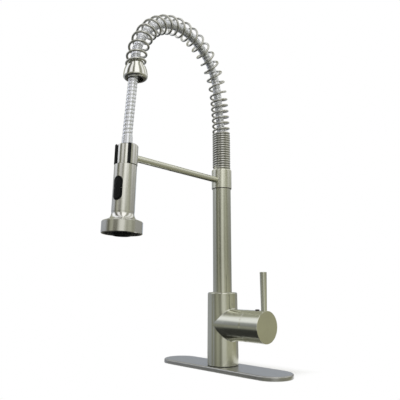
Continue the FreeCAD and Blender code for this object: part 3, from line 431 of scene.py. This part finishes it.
def spring_piece():
    path = spring_path()
    knots = spring_knots(path)
    total = knots[-1][0]
    count = int(total * STATIONS_PER_TURN)
    stations = []
    for k in range(count + 1):
        turn = total * k / count
        s, rate = climb(knots, turn)
        centre, h, bend = path.at(min(s, path.length))
        along, inward = directions(h)
        angle = 2 * math.pi * (turn + START_TURN)
        out = inward * math.cos(angle) + SIDE * math.sin(angle)
        round_way = inward * -math.sin(angle) + SIDE * math.cos(angle)
        rise = rate * (1 - bend * COIL_R * math.cos(angle))
        way = along * rise + round_way * (2 * math.pi * COIL_R)
        opened = min(max(turn - CLOSED_TURNS, 0.0), 1.0)
        wire_r = CLOSED_WIRE_R + (WIRE_R - CLOSED_WIRE_R) * opened
        coil_r = COIL_R + WIRE_R - wire_r
        stations.append((centre + out * coil_r, out, way.normalized(), wire_r))

    def wire_end(station, sign):
        """The wire's straight end: the edge of its rounded rim, and its tip."""
        p, out, way, r = station
        edge = (p + way * (sign * (WIRE_END - WIRE_RIM)), out, way, r)
        tip = (p + way * (sign * WIRE_END), out, way, r - WIRE_RIM)
        return edge, tip

    first_edge, first_tip = wire_end(stations[0], -1)
    last_edge, last_tip = wire_end(stations[-1], 1)
    rows = [first_tip, first_edge] + stations + [last_edge, last_tip]
    points = []
    for p, out, way, r in rows:
        across = way.cross(out).normalized()
        flat = across.cross(way)
        for j in range(WIRE_SIDES):
            a = 2 * math.pi * j / WIRE_SIDES
            points.append(p + (flat * math.cos(a) + across * math.sin(a)) * r)
    faces = []
    for i in range(len(rows) - 1):
        low, high = i * WIRE_SIDES, (i + 1) * WIRE_SIDES
        for j in range(WIRE_SIDES):
            k = (j + 1) % WIRE_SIDES
            faces.append((low + j, low + k, high + k, high + j))
    faces.append(tuple(range(WIRE_SIDES - 1, -1, -1)))
    last = (len(rows) - 1) * WIRE_SIDES
    faces.append(tuple(range(last, last + WIRE_SIDES)))
    return spout_piece("spring_coil", points, faces, spring_wire)


# Hose: a strip-wound metal tube, so its rib is one long helix

def hose_piece():
    path = hose_path()
    turns = int(path.length / RIB_PITCH)
    pitch = path.length / turns
    per_turn = len(RIB_PROFILE)
    rows = (turns + 1) * per_turn
    hug_start = LEAN_START - HOSE_TAIL
    points = []
    for i in range(rows):
        whole, step = divmod(i, per_turn)
        part, height = RIB_PROFILE[step]
        r = HOSE_ROOT_R + (HOSE_R - HOSE_ROOT_R) * height
        for j in range(HOSE_SIDES):
            s = (whole + part + j / HOSE_SIDES - 1) * pitch
            s = min(max(s, 0.0), path.length)
            centre, h, _ = path.at(s)
            _, inward = directions(h)
            t = min(max((s - hug_start) / HOSE_HUG_LENGTH, 0.0), 1.0)
            hug = HOSE_HUG * math.sin(math.pi * t) ** 2
            a = 2 * math.pi * j / HOSE_SIDES
            points.append(centre + inward * hug + (inward * math.cos(a) + SIDE * math.sin(a)) * r)
    faces = []
    for i in range(rows - 1):
        low, high = i * HOSE_SIDES, (i + 1) * HOSE_SIDES
        for j in range(HOSE_SIDES - 1):
            faces.append((low + j, low + j + 1, high + j + 1, high + j))
    seam = HOSE_SIDES - 1
    next_turn = per_turn * HOSE_SIDES
    for i in range(rows - 1 - per_turn):
        low, high = i * HOSE_SIDES, (i + 1) * HOSE_SIDES
        faces.append((low + seam, low + next_turn, high + next_turn, high + seam))
    return spout_piece("ribbed_hose", points, faces, hose_steel)


spring = spring_piece()
hose = hose_piece()
for piece, node, slot_name in ((spring, "spring", "spring_wire"), (hose, "hose", "hose_steel")):
    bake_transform(piece)
    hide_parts(node)


# Stage: a pale floor just under the gasket, and the surroundings that the metal reflects

def stage_mesh(name, points, faces, material):
    piece = link_mesh(name, points, faces, material)
    return piece


FLOOR_RIM = 0.0013
FLOOR_BACK = 0.120
FLOOR_FADE = (0.035, 0.100)
FLOOR_Z = -0.0002
FLOOR_DEPTH = 0.075
FLOOR_CLOUD = 9.0
FLOOR_TONES = (0.93, 0.95)
FLOOR_END_STEPS = 32


def floor_material():
    """Matt and pale, with the object's shadow, going over to plain white at its rim and down its sides."""
    material = bpy.data.materials.new("pale_floor")
    g = Graph(material)
    place = g.place()
    x, y, z = g.parts(place)
    ends = g.smooth(g.maths("ABSOLUTE", x), PLATE_HALF / 2, PLATE_HALF)
    front = g.smooth(y, -PLATE_R, -PLATE_R - FLOOR_RIM)
    front_back = g.maths("MAXIMUM", front, g.smooth(y, *FLOOR_FADE))
    side = g.maths("LESS_THAN", z, FLOOR_Z * 2)
    rim = g.maths("MAXIMUM", side, g.maths("MAXIMUM", ends, front_back))
    rays = g.add("ShaderNodeLightPath").outputs
    mirrored = g.maths("MAXIMUM", rays["Is Glossy Ray"], rays["Is Transmission Ray"])
    seen = g.maths("MAXIMUM", rays["Is Camera Ray"], mirrored)
    cloud = g.noise(place, FLOOR_CLOUD)
    low, high = FLOOR_TONES
    colour = g.mix(g.spread(cloud, 0.0, 1.0), rgb(low, low, low), rgb(high, high, high))
    matt = g.add("ShaderNodeBsdfDiffuse", {"Color": colour})
    white = g.add("ShaderNodeEmission", {"Color": rgb(1, 1, 1), "Strength": 1.0})
    shaders = {0: g.maths("MULTIPLY", rim, seen), 1: matt.outputs[0], 2: white.outputs[0]}
    g.finish(g.add("ShaderNodeMixShader", shaders).outputs[0])
    return material


# The studio wall's panels, each a direction in degrees from +X and a colour, in four rings:
# far below the floor, at the faucet's foot, at eye level and high up
BLACK = (0.045, 0.046, 0.044)
UMBER = (0.24, 0.235, 0.18)
DEEP = (0.10, 0.098, 0.08)
DARK = (0.165, 0.16, 0.125)
DIM = (0.29, 0.29, 0.24)
MID = (0.32, 0.32, 0.26)
GREY = (0.36, 0.36, 0.345)
SOFT = (0.41, 0.41, 0.335)
BLUE_GREY = (0.42, 0.435, 0.47)
OCHRE = (0.43, 0.42, 0.30)
LIGHT = (0.47, 0.475, 0.40)
PALE_BLUE = (0.52, 0.56, 0.645)
WARM = (0.57, 0.565, 0.45)
BRIGHT = (0.80, 0.80, 0.75)
COOL = (0.82, 0.81, 0.83)
SKY = (0.93, 0.94, 1.0)
WHITE = (1.0, 0.99, 0.99)
UNDER_PANELS = [(-180, BLACK), (20, BLACK), (40, UMBER), (104, UMBER), (120, BLACK)]
FOOT_PANELS = [
    (-180, BLUE_GREY), (-140, BLUE_GREY), (-136, DIM), (-126, DIM), (-122, BLUE_GREY), (-117, BLUE_GREY),
    (-110, DIM), (-98, DIM), (-90, LIGHT), (-74, LIGHT), (-66, DIM), (-58, DIM), (-46, BRIGHT),
    (-24, BRIGHT), (-12, WARM), (32, WARM), (42, OCHRE), (64, OCHRE), (74, GREY), (100, GREY),
    (112, DARK), (156, DARK), (168, BLUE_GREY),
]
EYE_PANELS = [
    (-180, BLUE_GREY), (-132, BLUE_GREY), (-114, DARK), (-104, DARK), (-98, SOFT), (-88, SOFT),
    (-80, DARK), (-66, DARK), (-50, BRIGHT), (-32, BRIGHT), (-23, LIGHT), (-13, MID), (-4, LIGHT),
    (8, LIGHT), (18, MID), (30, MID), (40, GREY), (104, GREY), (118, PALE_BLUE), (150, PALE_BLUE),
    (165, BLUE_GREY),
]
HIGH_PANELS = [
    (-180, MID), (-160, MID), (-150, SKY), (-124, SKY), (-116, DEEP), (-97, DEEP), (-88, COOL),
    (-70, COOL), (-62, DARK), (-52, DARK), (-44, WHITE), (-8, WHITE), (0, DIM), (22, DIM), (32, COOL),
    (46, COOL), (56, LIGHT), (68, LIGHT), (78, COOL), (88, COOL), (100, MID),
]

# Heights on the wall between which one ring goes over to the next, or the dimmed eye-level ring to its
# full light, and the wall's strength below and above the last change
UNDER_TO_FOOT = (-0.65, -0.15)
FOOT_TO_EYE = (0.11, 0.16)
EYE_TO_FULL = (0.14, 0.60)
EYE_TO_HIGH = (0.60, 1.10)
EYE_DIMMED = 0.75
LOW_STRENGTH = 0.9984
HIGH_STRENGTH = 1.28


def wall_material():
    """A studio wall: dark and light panels round the set, by direction from the middle and by height."""
    material = bpy.data.materials.new("studio_wall")
    g = Graph(material)
    x, y, z = g.parts(g.place())
    turn = g.spread(g.maths("ARCTAN2", y, x), 0.0, 1.0, -math.pi, math.pi)

    def ramp(panels):
        node = g.add("ShaderNodeValToRGB", {"Fac": turn})
        elements = node.color_ramp.elements
        elements.remove(elements[-1])
        for k, (degrees, colour) in enumerate(panels):
            at = (degrees + 180) / 360
            element = elements[0] if k == 0 else elements.new(at)
            element.position = at
            element.color = rgb(*colour)
        return node.outputs[0]

    dimmed = {0: ramp(EYE_PANELS), "Scale": g.smooth(z, *EYE_TO_FULL, low=EYE_DIMMED)}
    eye = g.add("ShaderNodeVectorMath", dimmed, operation="SCALE").outputs[0]
    foot = g.mix(g.smooth(z, *UNDER_TO_FOOT), ramp(UNDER_PANELS), ramp(FOOT_PANELS))
    low = g.mix(g.smooth(z, *FOOT_TO_EYE), foot, eye)
    colour = g.mix(g.smooth(z, *EYE_TO_HIGH), low, ramp(HIGH_PANELS))
    strength = g.smooth(z, *EYE_TO_HIGH, low=LOW_STRENGTH, high=HIGH_STRENGTH)
    g.finish(g.add("ShaderNodeEmission", {"Color": colour, "Strength": strength}).outputs[0])
    return material


# The floor follows the plate's front and goes straight back behind it
floor_outline = []
for k in range(FLOOR_END_STEPS + 1):
    a = math.pi * (1 + k / FLOOR_END_STEPS)
    end = math.copysign(PLATE_HALF - PLATE_R, k - FLOOR_END_STEPS / 2)
    floor_outline.append((end + (PLATE_R + FLOOR_RIM) * math.cos(a), (PLATE_R + FLOOR_RIM) * math.sin(a)))
floor_outline += [(PLATE_HALF + FLOOR_RIM, FLOOR_BACK), (-PLATE_HALF - FLOOR_RIM, FLOOR_BACK)]
corners = len(floor_outline)
floor_points = [(x, y, FLOOR_Z) for x, y in floor_outline]
floor_points += [(x, y, FLOOR_Z - FLOOR_DEPTH) for x, y in floor_outline]
floor_faces = [tuple(range(corners)), tuple(range(2 * corners - 1, corners - 1, -1))]
for a in range(corners):
    b = (a + 1) % corners
    floor_faces.append((a, a + corners, b + corners, b))
stage_mesh("floor", floor_points, floor_faces, floor_material())

WALL_R = 2.0
WALL_TOP = 3.6
WALL_BOTTOM = -1.6
WALL_SIDES = 96
wall_points = []
for k in range(WALL_SIDES):
    a = 2 * math.pi * k / WALL_SIDES
    wall_points.append((WALL_R * math.cos(a), WALL_R * math.sin(a), WALL_BOTTOM))
    wall_points.append((WALL_R * math.cos(a), WALL_R * math.sin(a), WALL_TOP))
wall_faces = [tuple(range(0, 2 * WALL_SIDES, 2)), tuple(range(2 * WALL_SIDES - 1, 0, -2))]
for k in range(WALL_SIDES):
    a, b = 2 * k, 2 * ((k + 1) % WALL_SIDES)
    wall_faces.append((a, a + 1, b + 1, b))
wall = stage_mesh("studio_wall", wall_points, wall_faces, wall_material())
wall.visible_camera = False

world = bpy.data.worlds.new("studio_white")
scene.world = world
sky = Graph(world)
background = sky.add("ShaderNodeBackground", {"Color": rgb(1, 1, 1), "Strength": 1.0})
sky.finish(background.outputs[0], "ShaderNodeOutputWorld")


# Two soft lamps, which the metal doesn't mirror, and the photograph's camera

LAMP_TARGET = Vector((0, 0, 0.1))


def lamp(name, place, size, watts):
    data = bpy.data.lights.new(name, "AREA")
    data.shape = "SQUARE"
    data.size = size
    data.energy = watts
    light = bpy.data.objects.new(name, data)
    light.location = place
    light.rotation_euler = (LAMP_TARGET - Vector(place)).to_track_quat("-Z", "Y").to_euler()
    light.visible_glossy = False
    scene.collection.objects.link(light)


lamp("key_softbox", (-0.95, -0.62, 1.55), size=1.8, watts=8.0)
lamp("top_softbox", (0.2, 0.1, 2.1), size=2.2, watts=9.0)

CAMERA_PLACE = (0.5598, -0.5788, 0.1343)
CAMERA_RISE = math.radians(9.81)
CAMERA_TURN = math.radians(46.66)
camera_data = bpy.data.cameras.new("photo_camera")
camera_data.lens = 43.45
camera_data.sensor_width = 36.0
camera = bpy.data.objects.new("photo_camera", camera_data)
camera.location = CAMERA_PLACE
camera.rotation_euler = (math.pi / 2 + CAMERA_RISE, 0, CAMERA_TURN)
scene.collection.objects.link(camera)
scene.camera = camera
scene.view_settings.view_transform = "Standard"
